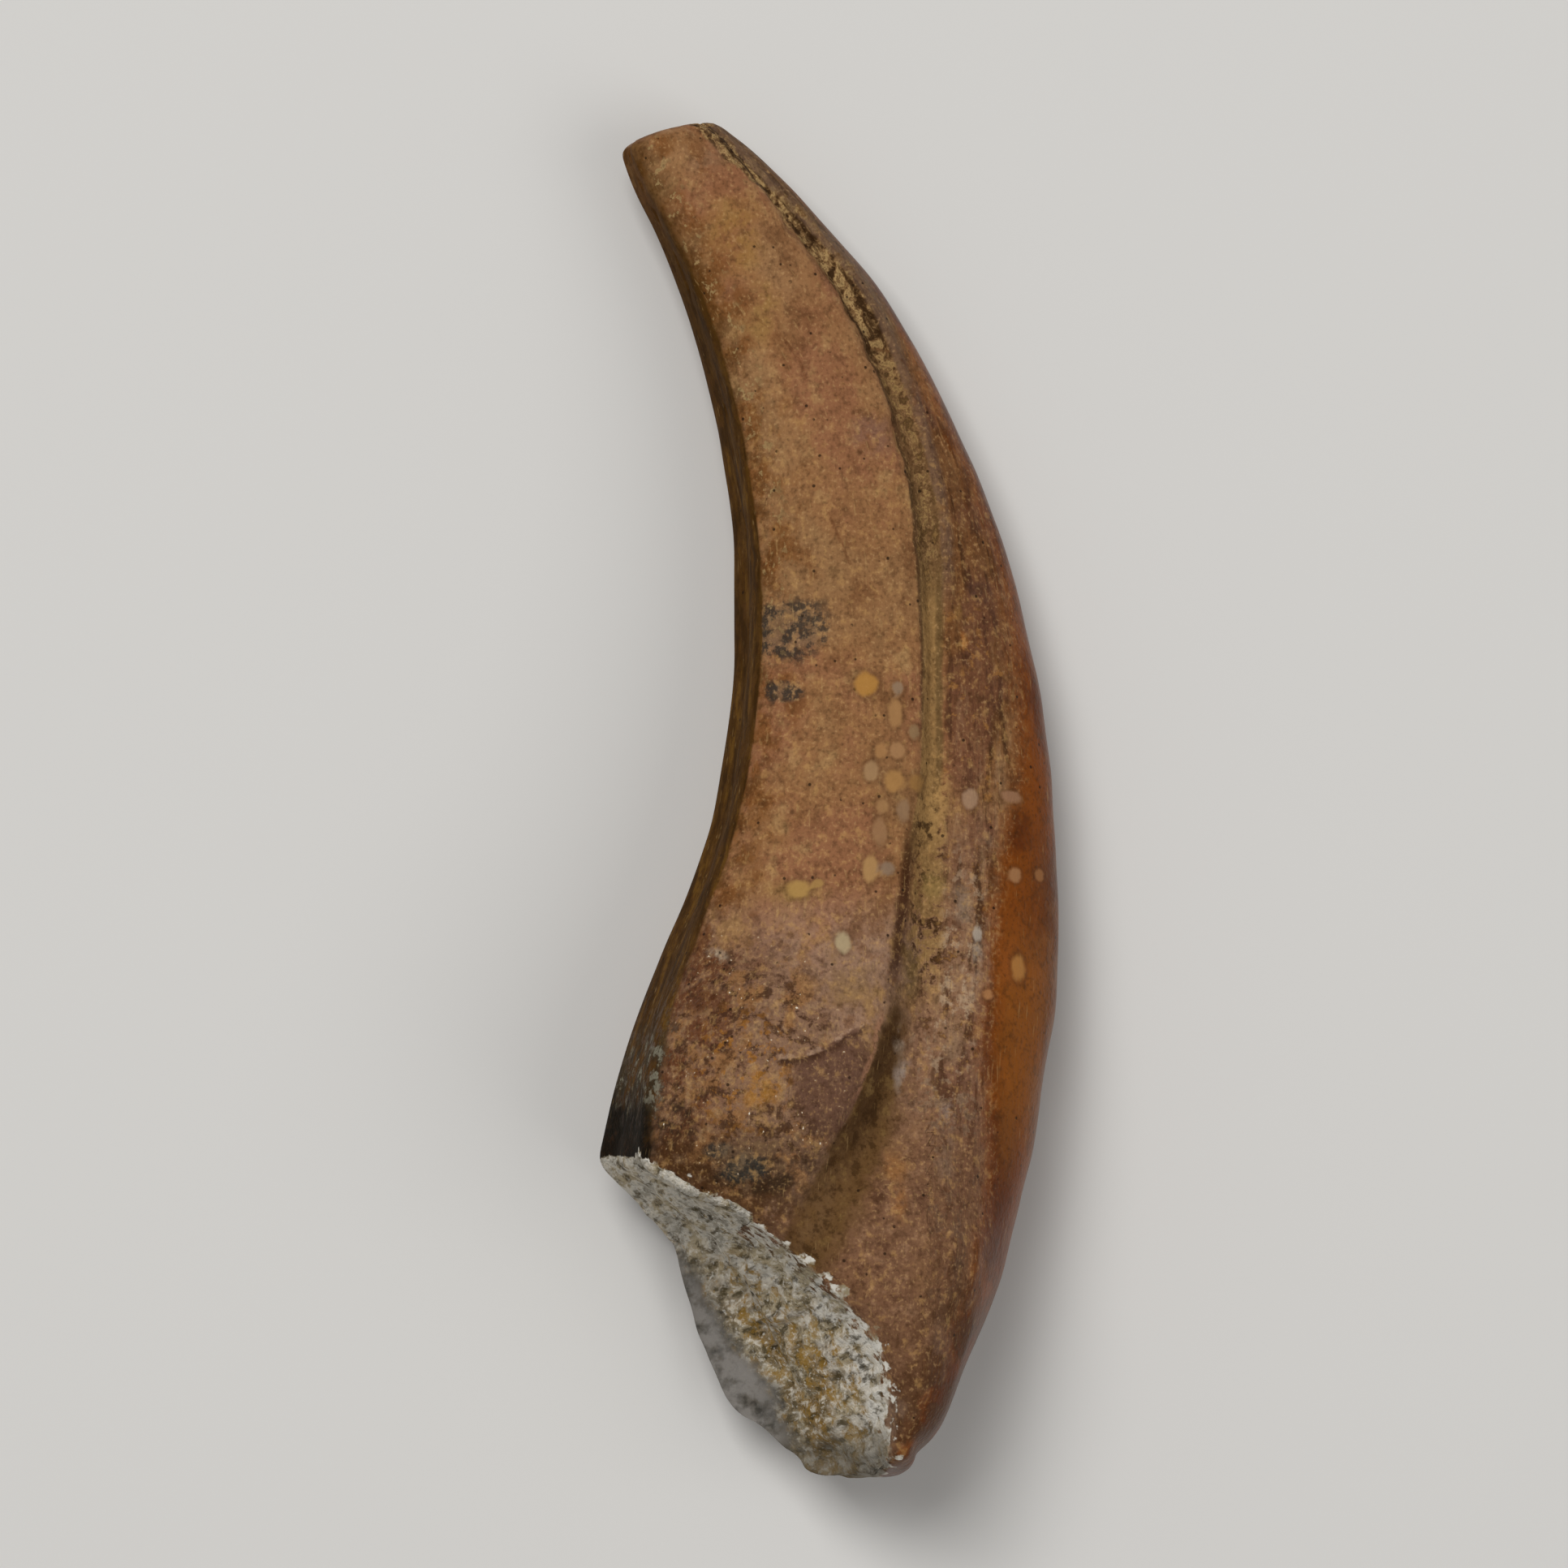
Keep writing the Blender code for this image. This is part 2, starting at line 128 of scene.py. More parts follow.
# Pale oval spots on the better side: centre, half width and half height, colour.
SPOTS = (
    ((0.76, 3.64), 0.45, 0.45, "#b5823f"),
    ((1.92, 3.52), 0.24, 0.27, "#937a62"),
    ((1.81, 2.54), 0.30, 0.57, "#a87d50"),
    ((1.24, 1.15), 0.27, 0.30, "#a87b4e"),
    ((1.85, 1.17), 0.30, 0.33, "#a67c54"),
    ((0.85, 0.37), 0.30, 0.39, "#a5825c"),
    ((1.73, 0.03), 0.39, 0.45, "#ab7f4b"),
    ((2.59, -0.03), 0.33, 0.39, "#98703f"),
    ((1.26, -0.93), 0.27, 0.33, "#a27a50"),
    ((2.05, -1.11), 0.27, 0.45, "#927356"),
    ((1.14, -1.91), 0.27, 0.60, "#9a7350"),
    ((0.75, -3.35), 0.30, 0.54, "#b28a58"),
    ((1.39, -3.27), 0.30, 0.30, "#8c7560"),
    ((-1.87, -4.08), 0.42, 0.36, "#b08a4e"),
    ((-1.18, -3.87), 0.24, 0.18, "#a5804a"),
    ((-0.33, -6.09), 0.30, 0.42, "#b4a07c"),
    ((4.70, -0.48), 0.30, 0.42, "#a58468"),
    ((6.35, -0.26), 0.45, 0.24, "#a07658"),
    ((6.47, -3.17), 0.30, 0.30, "#a87a52"),
    ((7.53, -3.05), 0.24, 0.24, "#9c6a40"),
    ((4.93, -5.49), 0.21, 0.30, "#b0a292"),
    ((6.59, -6.65), 0.30, 0.54, "#b27c42"),
    ((5.28, -7.74), 0.24, 0.24, "#b27d50"),
    ((2.51, 1.89), 0.24, 0.30, "#8f7352"),
)

# Soft stains on the better side: centre, half width and half height, colour.
PATCHES = (
    ((-5.34, -8.23), 0.90, 0.54, "#55290f"),
    ((-4.85, -6.52), 0.42, 0.30, "#c9b79c"),
    ((4.49, 5.48), 0.27, 0.39, "#c9803a"),
    ((4.68, 4.19), 0.36, 0.36, "#a8763c"),
    ((4.37, 6.55), 0.18, 0.66, "#8f6a3a"),
    ((3.25, -3.69), 0.48, 0.60, "#8a7040"),
    ((2.02, -10.94), 0.39, 0.78, "#a39488"),
    ((1.58, -14.38), 0.45, 0.72, "#9a6a3c"),
    ((5.28, 7.41), 0.54, 0.48, "#473430"),
    ((5.83, 2.42), 0.21, 0.72, "#4a2c1a"),
    ((1.13, 13.10), 0.78, 0.96, "#7c5b4c"),
    ((-3.95, 20.50), 1.14, 1.65, "#987039"),
    ((-5.01, 23.45), 0.78, 0.90, "#8f6d50"),
    ((-3.07, 17.59), 0.90, 1.35, "#94703c"),
    ((-1.85, -4.23), 1.14, 0.48, "#947440"),
    ((-0.18, -7.28), 1.26, 1.35, "#86694c"),
    ((4.33, -4.59), 0.42, 1.02, "#8f7a66"),
    ((4.91, -6.40), 0.24, 0.78, "#a89684"),
    ((3.94, -9.75), 0.48, 0.90, "#8f7258"),
    ((3.52, -13.71), 0.42, 1.20, "#8a6e58"),
    ((2.59, -17.98), 0.54, 1.20, "#8c6646"),
    ((-1.20, 7.99), 1.80, 1.80, "#8e6844"),
    ((-3.47, -11.61), 0.72, 0.90, "#b07a30"),
    ((2.35, -6.75), 0.42, 1.38, "#5c4a2c"),
    ((6.42, -6.58), 0.66, 0.90, "#8f4f22"),
    ((6.08, -12.90), 0.48, 1.80, "#7c4a20"),
    ((4.88, 11.44), 0.30, 1.20, "#4a2410"),
    ((4.26, 14.45), 0.21, 0.72, "#3f1e0c"),
    ((1.52, -23.43), 0.78, 0.90, "#7c6452"),
    ((3.32, -20.87), 0.60, 1.20, "#755744"),
    ((1.50, -20.91), 0.54, 1.20, "#70503a"),
    ((1.85, -9.60), 0.30, 0.60, "#a08c78"),
    ((3.70, -12.26), 0.30, 0.45, "#a8988a"),
    ((1.60, -15.63), 0.36, 0.75, "#a5703f"),
)

PATTERN_SHIFT = 7.3  # keeps the patterns from repeating one another
RAGGED_SHIFT = 40.0
RAGGED_SIZE = 0.5  # mm
PORE_SPACING = 0.65  # mm
GROUND_ROUGHNESS = 0.48

# Patterns that the layers share: coordinates, size in mm across, along and in depth, detail,
# roughness. The joint's are long in depth, as its spongy bone is.
PATTERNS = {
    "cloud": ("plane", 3.6, 5.0, 3.6, 5.0, 0.55),
    "blotch": ("plane", 1.15, 1.35, 1.15, 5.0, 0.62),
    "fleck": ("plane", 0.36, 0.42, 0.36, 3.0, 0.60),
    "grain": ("plane", 0.13, 0.15, 0.13, 1.0, 0.50),
    "crumb": ("plane", 0.60, 0.60, 0.60, 4.0, 0.68),
    "streak": ("grain", 0.42, 2.40, 0.42, 5.0, 0.62),
    "thread": ("grain", 0.13, 1.60, 0.13, 2.0, 0.55),
    "mottle": ("plane", 0.85, 0.85, 2.20, 4.0, 0.60),
    "chalk": ("plane", 0.34, 0.34, 0.90, 3.0, 0.60),
}

# Layers over the bone's ground colour, from the bottom up: colour, strength, limits, and how
# ragged the limits are in mm. A limit is (field or pattern, where it starts, where it is full).
LAYERS = (
    # Broad clouds of colour in the smooth sides.
    ("#a07650", 0.60, (("cloud", 0.44, 0.58), ("y", 8.0, 17.0)), 0),
    ("#906c48", 0.45, (("cloud", 0.50, 0.62),), 0),
    ("#915f44", 0.60, (("cloud", 0.52, 0.40),), 0),
    ("#9c7c68", 0.75, (("y", -3.5, -6.5), ("blotch", 0.30, 0.55)), 0),
    ("#70492d", 0.60, (("blotch", 0.53, 0.66),), 0),
    ("#ad8859", 0.50, (("blotch", 0.46, 0.33),), 0),
    # Orange brown, more mottled bone next to the underside.
    ("#7a4a1e", 0.60, (("crease", 2.8, 0.6), ("blotch", 0.44, 0.60)), 0.5),
    ("#45290f", 0.60, (("crease", 1.6, -0.1), ("crumb", 0.44, 0.58)), 0.5),
    ("#54350f", 0.65, (("crease", 0.9, -0.1), ("y", 14.0, 18.0)), 0.6),
    # The band between the groove and the back.
    ("#6b4426", 0.80, (("rail", -0.1, 0.3), ("margin", 0.3, -0.6), ("y", -4.0, 6.0)), 0.3),
    ("#856148", 0.80, (("lip", 0.5, 1.6), ("margin", 0.5, -0.5), ("y", 1.0, -3.0)), 0.5),
    ("#3f2616", 0.80, (("rail", -0.3, 0.3), ("margin", 0.8, -0.3), ("streak", 0.50, 0.62)), 0),
    ("#a3815f", 0.48, (
        ("rail", -0.2, 0.4), ("margin", 0.6, -0.3), ("y", 9.0, -1.0), ("streak", 0.48, 0.36),
    ), 0),
    ("#6c4636", 0.45, (("rail", 0.0, 0.5), ("margin", 0.6, -0.3), ("cloud", 0.52, 0.42)), 0),
    ("#b3977a", 0.82, (
        ("rail", -1.4, 0.1), ("margin", 0.4, -0.8), ("y", 0.0, -6.0), ("crumb", 0.51, 0.62),
        ("streak", 0.40, 0.52),
    ), 0),
    ("#432817", 0.80, (
        ("rail", -1.4, 0.1), ("margin", 0.4, -0.8), ("y", 0.0, -6.0), ("crumb", 0.48, 0.38),
    ), 0),
    ("#a5733c", 0.55, (
        ("rail", -0.4, 0.3), ("margin", 0.6, -0.4), ("y", 10.0, 4.0), ("crumb", 0.42, 0.34),
    ), 0),
    # The side below the channel.
    ("#6f4c35", 0.60, (("y", -11.0, -15.0), ("lip", 0.8, 1.8), ("margin", 0.3, -0.5)), 0.5),
    ("#553727", 0.70, (("y", -9.0, -12.0), ("lip", 0.8, 1.8), ("crumb", 0.51, 0.64)), 0),
    ("#a07a5c", 0.45, (("y", -9.0, -12.0), ("lip", 1.4, 2.4), ("crumb", 0.46, 0.35)), 0),
    # The polished back.
    ("back", 0.95, (("margin", -0.50, 0.55),), 0.9),
    ("#3a1707", 0.80, (("margin", 0.1, 0.8), ("y", 7.0, 12.0), ("blotch", 0.44, 0.56)), 0),
    ("#874618", 0.50, (("margin", 0.2, 1.0), ("y", 6.0, -6.0), ("streak", 0.46, 0.62)), 0),
    ("#4c2210", 0.70, (("margin", -0.1, 0.6), ("margin", 2.0, 0.8), ("cloud", 0.56, 0.46)), 0.5),
    ("#4e2a14", 0.65, (("margin", 1.0, 2.6), ("cloud", 0.45, 0.57)), 0.5),
    ("#8f6139", 0.50, (("margin", 1.4, 3.4), ("blotch", 0.52, 0.38)), 0.5),
    ("#92571f", 0.55, (
        ("margin", 0.2, 1.2), ("margin", 3.6, 2.4), ("y", -4.0, -7.0), ("y", -15.0, -11.0),
    ), 0.4),
    ("#50341f", 0.75, (("y", -16.0, -20.5), ("margin", -2.5, 0.0), ("blotch", 0.36, 0.52)), 0.4),
    # Mineral-filled groove: smooth in the middle, crumbs of sediment towards the tip.
    ("#947346", 0.85, (
        ("lip", 0.0, 0.12), ("rail", 0.12, -0.12), ("y", 9.5, 7.5), ("y", -4.0, -1.5),
    ), 0),
    ("#4c3a22", 0.60, (
        ("rail", -0.30, -0.15), ("rail", 0.10, -0.05), ("y", 9.5, 7.5), ("y", -1.0, 1.0),
    ), 0.15),
    ("#6b4f32", 0.85, (("lip", -0.05, 0.15), ("rail", 0.25, -0.20), ("y", 6.0, 9.0)), 0.3),
    ("#6f5233", 0.85, (("lip", -0.05, 0.15), ("rail", 0.9, 0.4), ("y", 15.0, 18.0)), 0.4),
    ("#2a190b", 0.85, (
        ("lip", -0.10, 0.10), ("rail", 0.20, -0.10), ("y", 6.5, 9.0), ("fleck", 0.49, 0.38),
    ), 0),
    ("#2a190b", 0.75, (
        ("lip", -0.10, 0.10), ("rail", 0.8, 0.3), ("y", 15.0, 17.0), ("streak", 0.48, 0.38),
    ), 0),
    ("#ad8b58", 0.75, (
        ("lip", 0.0, 0.15), ("rail", 0.20, -0.10), ("y", 5.5, 9.0), ("fleck", 0.46, 0.58),
        ("grain", 0.38, 0.52), ("streak", 0.42, 0.54),
    ), 0),
    ("#bb9a68", 0.80, (
        ("lip", -0.1, 0.1), ("rail", 0.5, 0.1), ("y", 15.0, 18.0), ("fleck", 0.46, 0.58),
        ("grain", 0.36, 0.50), ("streak", 0.38, 0.50),
    ), 0),
    # a grey-purple band beside the rail: partly its own colour, partly a painted sheen
    ("#6c5444", 0.65, (
        ("rail", -0.10, 0.05), ("rail", 0.60, 0.25), ("y", 6.0, 9.0), ("blotch", 0.36, 0.50),
    ), 0.2),
    ("#ab8552", 0.80, (
        ("rail", -1.2, -0.8), ("rail", 0.5, 0.1), ("y", 2.0, -0.5), ("y", -9.0, -6.0),
        ("crumb", 0.45, 0.54),
    ), 0.2),
    ("#33200f", 0.80, (
        ("rail", -1.2, -0.8), ("rail", 0.5, 0.1), ("y", 1.0, -1.5), ("y", -9.0, -6.0),
        ("crumb", 0.48, 0.40),
    ), 0.2),
    # The groove's wall and the channel below it, with painted shade along the lower wall and in
    # the channel.
    # painted shade: a dark red-brown line along the groove's wall, where it steps down towards
    # the joint
    ("#35180a", 0.85, (
        ("lip", -0.30, 0.02), ("lip", 0.60, 0.15), ("y", -0.3, -3.0), ("y", -8.5, -6.5),
    ), 0.2),
    ("#2d1c10", 0.60, (
        ("lip", -0.08, 0.02), ("lip", 0.18, 0.08), ("y", 0.0, 4.0), ("y", 21.0, 18.0),
    ), 0.15),
    # the channel's dark brown: partly its own sediment, partly painted shade
    ("#5f4423", 0.85, (("channel", 0.0, 0.8),), 0.7),
    # painted shadow: the darkest band in the channel, next to the lip
    ("#2f1a06", 0.62, (
        ("lip", -0.3, 0.3), ("lip", 1.4, 0.5), ("channel", 0.2, 0.8), ("y", -16.0, -12.0),
    ), 0.6),
    ("#2a1808", 0.55, (("channel", 0.3, 0.8), ("crumb", 0.50, 0.62)), 0),
    ("#83663c", 0.55, (("channel", 0.3, 0.8), ("crumb", 0.45, 0.33)), 0),
    ("#6e5230", 0.55, (
        ("lip", 0.2, 0.8), ("lip", 2.4, 1.2), ("y", -0.5, -3.0), ("y", -9.5, -6.5),
        ("crumb", 0.42, 0.55),
    ), 0.4),
    # The tendon's tubercle: rough, strongly mottled.
    ("#80604a", 0.70, (("bulge", 0.12, 0.5),), 0),
    ("#5f3218", 0.75, (("bulge", 0.10, 0.4), ("crease", 3.6, 1.2), ("blotch", 0.42, 0.56)), 0.5),
    ("#90633a", 0.70, (("bulge", 0.15, 0.5), ("blotch", 0.50, 0.40)), 0),
    ("#40271a", 0.80, (("bulge", 0.12, 0.5), ("crumb", 0.50, 0.60)), 0),
    ("#a3825c", 0.50, (("bulge", 0.12, 0.5), ("crumb", 0.46, 0.36)), 0),
    ("#b87a30", 0.75, (("bulge", 0.60, 0.95), ("fleck", 0.52, 0.64), ("blotch", 0.40, 0.50)), 0),
    ("#664839", 0.90, (("flake", 0.20, 0.5), ("crumb", 0.24, 0.40)), 0.2),
    # painted shade: a dark line just below the flake's upper edge
    ("#3b2418", 0.60, (
        ("flake_edge", -0.50, -0.20), ("flake_edge", -0.05, -0.15), ("flake_edge_on", 0.3, 0.7),
        ("crumb", 0.40, 0.52),
    ), 0.3),
    # a pale line on the flake's upper edge: painted highlight where the raised edge catches the
    # light, and pale chipped bone
    ("#b8967c", 0.62, (
        ("flake_edge", -0.14, -0.04), ("flake_edge", 0.14, 0.05), ("flake_edge_on", 0.3, 0.7),
        ("crumb", 0.48, 0.57),
    ), 0.3),
    # painted highlight: a pale pink crest along the lip beside the tubercle
    ("#a8795c", 0.70, (
        ("lip", -0.30, -0.12), ("lip", 0.05, -0.05), ("y", -8.4, -9.2), ("y", -12.5, -11.0),
        ("crumb", 0.42, 0.52),
    ), 0.2),
    ("patch_colour", 0.65, (("patch", 1.35, 0.35), ("blotch", 0.60, 0.44)), 0.8),
    # painted shade: the tubercle darker towards the joint, where it curves away from the light
    ("#3a2716", 0.65, (("bulge", 0.10, 0.4), ("y", -12.0, -14.5), ("blotch", 0.36, 0.52)), 0.4),
    ("#4a2f18", 0.72, (
        ("rim", 2.4, 0.9), ("lip", 0.8, -0.6), ("y", -12.5, -14.5), ("crumb", 0.34, 0.50),
    ), 0.5),
    ("#33261b", 0.75, (("stain", 0.30, 0.75), ("crumb", 0.40, 0.56)), 0.8),
    ("#6e6350", 0.45, (("soot", 0.10, 0.70),), 0.4),
    ("#292a29", 0.80, (("soot", 0.08, 0.40), ("crumb", 0.42, 0.54), ("fleck", 0.36, 0.50)), 0.4),
    # The underside: its dark brown is partly a stain and partly painted shade, as it turns away
    # from the light.
    ("#4a300d", 0.90, (("crease", 0.05, -0.30), ("y", 24.0, 18.0)), 0.25),
    ("#2b1a06", 0.60, (("crease", 0.0, -0.3), ("streak", 0.50, 0.62), ("y", 24.0, 18.0)), 0),
    ("#7a5620", 0.50, (("crease", 0.0, -0.3), ("streak", 0.48, 0.36), ("y", 18.0, 12.0)), 0),
    ("#cdae76", 0.65, (
        ("crease", 1.5, 0.5), ("crease", -0.1, 0.2), ("y", 2.0, 8.0), ("fleck", 0.57, 0.65),
    ), 0.5),
    # painted highlight: a thin lighter line along the edge to the underside
    ("#8a6538", 0.35, (
        ("crease", 0.22, 0.08), ("crease", -0.18, -0.02), ("y", 16.0, 12.0),
        ("fleck", 0.48, 0.60),
    ), 0.2),
    ("#3a3326", 0.80, (("crease", 0.3, -0.3), ("y", -8.0, -10.0), ("blotch", 0.40, 0.55)), 0.4),
    ("#9a9682", 0.60, (
        ("crease", 0.5, -0.1), ("y", -8.5, -10.0), ("y", -14.5, -11.0), ("crumb", 0.54, 0.64),
    ), 0.4),
    # nearly black corner by the stub: a black stain, and painted shade on the shadowed face there
    ("#090805", 0.94, (("dark", 0.05, 0.75),), 1.0),
    # Fine grain, and painted glints on the tubercle.
    ("#3d2411", 0.42, (("fleck", 0.50, 0.72),), 0),
    ("#c2965c", 0.38, (
        ("fleck", 0.47, 0.28), ("margin", 0.8, 0.2), ("crease", -0.1, 0.6), ("dark", 0.3, 0.1),
        ("y", 18.0, 12.0), ("channel", 0.7, 0.1),
    ), 0),
    ("#352010", 0.40, (("grain", 0.50, 0.80),), 0),
    ("#cda470", 0.32, (
        ("grain", 0.44, 0.20), ("margin", 0.8, 0.2), ("crease", -0.1, 0.6), ("dark", 0.3, 0.1),
        ("channel", 0.7, 0.1),
    ), 0),
    # painted highlight: tiny white glints on the rough tubercle
    ("#f4ecda", 0.85, (
        ("bulge", 0.12, 0.4), ("crease", 0.1, 0.5), ("grain", 0.27, 0.21), ("crumb", 0.46, 0.54),
    ), 0),
    ("#c9a56c", 0.22, (("thread", 0.62, 0.72), ("blotch", 0.46, 0.56)), 0),
    ("#22160e", 0.85, (("pore", 0.12, 0.07), ("blotch", 0.44, 0.50)), 0),
    ("#5a3018", 0.42, (
        ("scratch", -0.09, -0.03), ("scratch", 0.09, 0.03), ("scratch_on", 0.2, 0.6),
        ("fleck", 0.40, 0.52),
    ), 0),
    # Pale round spots.
    ("#4d331f", 0.30, (("spot", 1.65, 1.15),), 0.5),
    ("spot_colour", 0.80, (("spot", 1.20, 0.65),), 0.8),
    # Open spongy bone at the joint.
    ("joint", 1.00, (("joint", 0.40, 0.56),), 1.7),
    ("#b7a98d", 0.70, (("joint", 0.42, 0.6), ("mottle", 0.50, 0.38)), 0),
    ("#7f6233", 0.75, (
        ("joint", 0.45, 0.7), ("fold", -0.2, 0.5), ("rim", -0.2, -1.0), ("mottle", 0.40, 0.56),
    ), 0.8),
    ("#5c4f38", 0.60, (("joint", 0.42, 0.6), ("crumb", 0.50, 0.62)), 0.5),
    ("#e4dfd4", 0.92, (
        ("joint", 0.42, 0.56), ("rim", -1.9, -0.2), ("mottle", 0.40, 0.54), ("crumb", 0.36, 0.46),
    ), 1.9),
    ("#40361f", 0.80, (("joint", 0.45, 0.7), ("chalk", 0.49, 0.34)), 0),
    ("#d8cfbe", 0.75, (("joint", 0.42, 0.6), ("chalk", 0.52, 0.64)), 0),
    ("#97742f", 0.65, (("joint", 0.45, 0.65), ("crumb", 0.50, 0.40), ("rim", -0.2, -0.9)), 0.6),
    ("#2a251b", 0.80, (("joint", 0.45, 0.65), ("mottle", 0.58, 0.68), ("chalk", 0.54, 0.42)), 0),
    ("#62563c", 0.62, (
        ("joint", 0.45, 0.65), ("y", -19.0, -16.5), ("mottle", 0.46, 0.58), ("crumb", 0.40, 0.52),
    ), 0.5),
    ("#e6e0d4", 0.55, (("joint", 0.45, 0.65), ("grain", 0.42, 0.24)), 0),
    ("#615e5a", 0.92, (("joint", 0.45, 0.6), ("fold", 0.25, -0.45)), 1.0),
    ("#8f8a84", 0.72, (("joint", 0.45, 0.6), ("fold", 0.0, -0.6), ("mottle", 0.42, 0.58)), 0),
    ("#35332e", 0.70, (("joint", 0.45, 0.6), ("fold", 0.0, -0.6), ("mottle", 0.44, 0.34)), 0),
    ("#625847", 0.75, (("joint", 0.45, 0.6), ("y", -23.0, -24.6)), 1.0),
    ("#8f8a80", 0.60, (("joint", 0.45, 0.6), ("y", -23.5, -24.6), ("crumb", 0.50, 0.60)), 0),
)

# Roughness over the ground's, from the bottom up: value, and limits as above.
GLOSS = (
    (0.58, (("fleck", 0.40, 0.60),)),
    (0.85, (("crease", 0.3, -0.2),)),
    (0.32, (("margin", -0.3, 0.6),)),
    (0.75, (("lip", 0.0, 0.2), ("rail", 0.1, -0.1), ("y", 5.0, 9.0))),
    (0.38, (("bulge", 0.2, 0.6), ("fleck", 0.48, 0.60))),
    (0.85, (("joint", 0.42, 0.58),)),
)

# Relief too fine for the mesh: pattern, height in mm, and limits as above.
BUMPS = (
    ("grain", 0.014, ()),
    ("fleck", 0.030, ()),
    ("blotch", 0.040, ()),
    ("fleck", 0.090, (("bulge", 0.1, 0.6),)),
    ("grain", 0.040, (("bulge", 0.1, 0.6),)),
    ("streak", 0.110, (("rail", -0.2, 0.3), ("margin", 0.6, -0.2))),
    ("fleck", 0.110, (("lip", 0.0, 0.2), ("rail", 0.1, -0.1), ("y", 5.0, 9.0))),
    ("crumb", 0.160, (("joint", 0.45, 0.6), ("fold", -0.4, 0.2))),
    ("fleck", 0.060, (("joint", 0.45, 0.6), ("fold", -0.4, 0.2))),
)

# The fields that the shader reads: signed distances in mm, and areas from 0 to 1.
FIELDS = (
    "lip", "rail", "margin", "crease", "rim", "fold", "joint", "bulge", "flake", "flake_edge",
    "flake_edge_on", "scratch", "scratch_on", "channel", "stain", "dark", "soot", "spot", "patch",
)
SPACES = ("plane", "grain")
PAINTS = ("spot_colour", "patch_colour")

# How they are kept on the mesh: names, kind, and the part of it that holds the values.
ATTRIBUTES = (
    (FIELDS, "FLOAT", "value"),
    (SPACES, "FLOAT_VECTOR", "vector"),
    (PAINTS, "FLOAT_COLOR", "color"),
)

LINE_GAP = 1.6  # mm, about how far apart the points that the lines are given by are
LINE_STEP = 0.25  # mm, about how far apart the points of the smooth lines are

# Soft areas: centre in the claw's plane, reach across and along, and where there are several,
# strength.
TUBERCLE = ((-4.2, -11.0), (3.4, 4.6))
FLAKE = ((-0.8, -11.2), (1.5, 2.3))
STAINS = (
    ((-3.6, -14.8), (2.0, 0.9), 1.0),
    ((-6.4, -12.5), (1.2, 1.6), 0.7),
    ((-5.0, -7.8), (0.9, 1.0), 0.5),
)
# The nearly black corner by the stub: a black stain, and painted shade on the shadowed face
# there.
DARK_CORNER = (
    ((-7.7, -12.9), (0.55, 1.7), 1.0),
    ((-7.6, -13.6), (0.5, 0.7), 1.0),
)
SMOKY_STAIN = (
    ((-2.0, 5.7), (1.3, 1.0), 1.0),
    ((-2.2, 3.4), (0.6, 0.35), 1.0),
    ((-4.1, -14.5), (0.75, 0.5), 1.0),
    ((-5.0, -13.9), (0.45, 0.3), 1.0),
)

# Where the joint's open face and the broken end of its stub face, and the notch in its far rim.
JOINT_FACES = (-0.80, -0.60, 0.0)
STUB_FACES = (-0.56, -0.83, 0.0)
NOTCH = (-1.6, -23.0, -3.3)
NOTCH_REACH = 1.3
OUTSIDE = -1.5  # the joint's field away from its face, well clear of what its layers read

CHANNEL_REACH = 1.7  # mm from the lip
CHANNEL_FLARE = 1.1  # mm more next to the joint

FAR_OFF = 9.0  # stands for a place with no spot, patch or scratch near it
SEED_SHIFT = 17.3  # gives each noise of the relief a place of its own

# Heights and depths of the relief, in mm.
LUMPS = 0.05
SEDIMENT = 0.08
CHIPS = 0.10
RAIL = 0.07
RIDGES = 0.06
MORE_RIDGES = 0.05
BAND_LUMPS = 0.07
ROUGH_LUMPS = 0.10
ROUGH_GRAINS = 0.05
FLAKE_HEIGHT = 0.13
WORN_EDGE = 0.06
SPONGE_LUMPS = 0.24
SPONGE_CRUMBS = 0.12

# How drawn out some relief is: along the bone's grain, and in the spongy bone in depth.
GRAIN_STRETCH = (1.0, 7.0, 1.0)
SPONGE_STRETCH = (1.0, 1.0, 2.2)

# How the part's own mesh is made fine enough for the relief.
MERGE_WITHIN = 0.002 * MM
QUAD_ANGLE = math.radians(60)
SUBDIVISIONS = 2
SMOOTH_ROUNDS = 60
LEAST_WEIGHT = 0.01  # below this a point isn't smoothed

# How strongly the edges are rounded, from 0 to 1.
ROUND_TIP = 0.5
ROUND_SHAFT = 0.08
ROUND_LIP = 0.15

FLOOR_SIZE = 3.0  # metres

# Soft lights: name, place and size in metres, and power in watts.
LIGHTS = (
    ("key", (-0.22, 0.30, 0.75), 0.40, 4.2),
    ("fill", (0.45, -0.15, 0.60), 0.50, 1.2),
)
WORLD_STRENGTH = 0.22

# The camera at the photograph's angle.
CAMERA_AIM = (-1.72 * MM, 0.42 * MM, 6.0 * MM)
CAMERA_TURN = tuple(math.radians(angle) for angle in (2.55, -1.77, 0.61))
CAMERA_SENSOR = 36.0  # mm
FRAME_WIDTH = 57.8 * MM  # what the frame takes in at the claw


def linear(code):
    """A hex colour as the linear values that a shader works with."""
    parts = [int(code[i : i + 2], 16) / 255 for i in (1, 3, 5)]
    curved = [p / 12.92 if p <= 0.04045 else ((p + 0.055) / 1.055) ** 2.4 for p in parts]
    return (*curved, 1.0)


def ease(low, high, values):
    """0 at low, 1 at high, and a smooth step between. low may be the larger."""
    t = np.clip((values - low) / (high - low), 0, 1)
    return t * t * (3 - 2 * t)


def ridge(values, width):
    """1 where the values are 0, falling smoothly to about nothing at twice the width."""
    return np.exp(-((values / width) ** 2))


